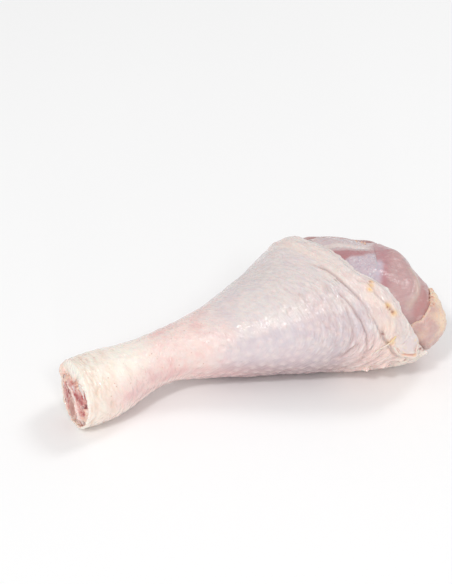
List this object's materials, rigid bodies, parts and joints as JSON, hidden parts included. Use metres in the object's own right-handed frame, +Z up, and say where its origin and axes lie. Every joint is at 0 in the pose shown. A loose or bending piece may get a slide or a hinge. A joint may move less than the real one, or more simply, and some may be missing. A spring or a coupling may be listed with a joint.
{
  "type": "raw turkey drumstick",
  "caption": "Raw turkey drumstick lying on its side, with a sleeve of skin, bare meat and cartilage at the knee end and a cut ankle.",
  "frame": {"origin": "middle of the leg's length and width, on the surface it lies on", "axes": "+X from the ankle to the knee end, -Y the side where the skin reaches furthest over the meat, +Z up as it lies"},
  "size_m": [0.2274, 0.1087, 0.0734],
  "materials": {
    "skin": "moist, slightly translucent",
    "meat": "wet, with a thin silvery film",
    "dark_meat": "wet, fibrous",
    "bone": "smooth",
    "cartilage": "wet, glossy",
    "tendon": "moist, satin",
    "sinew": "moist",
    "fat": "moist, waxy"
  },
  "bodies": {
    "root": {"skin": "skin", "near_muscle": "meat", "top_muscle": "meat", "far_muscle": "dark_meat", "under_muscle": "dark_meat", "fat_flap": "fat", "shin_bone": "bone", "joint_cartilage": "cartilage", "ankle_core": "sinew", "tendon_strap": "tendon", "tendon_front": "tendon", "tendon_back": "tendon"}
  },
  "joints": []
}
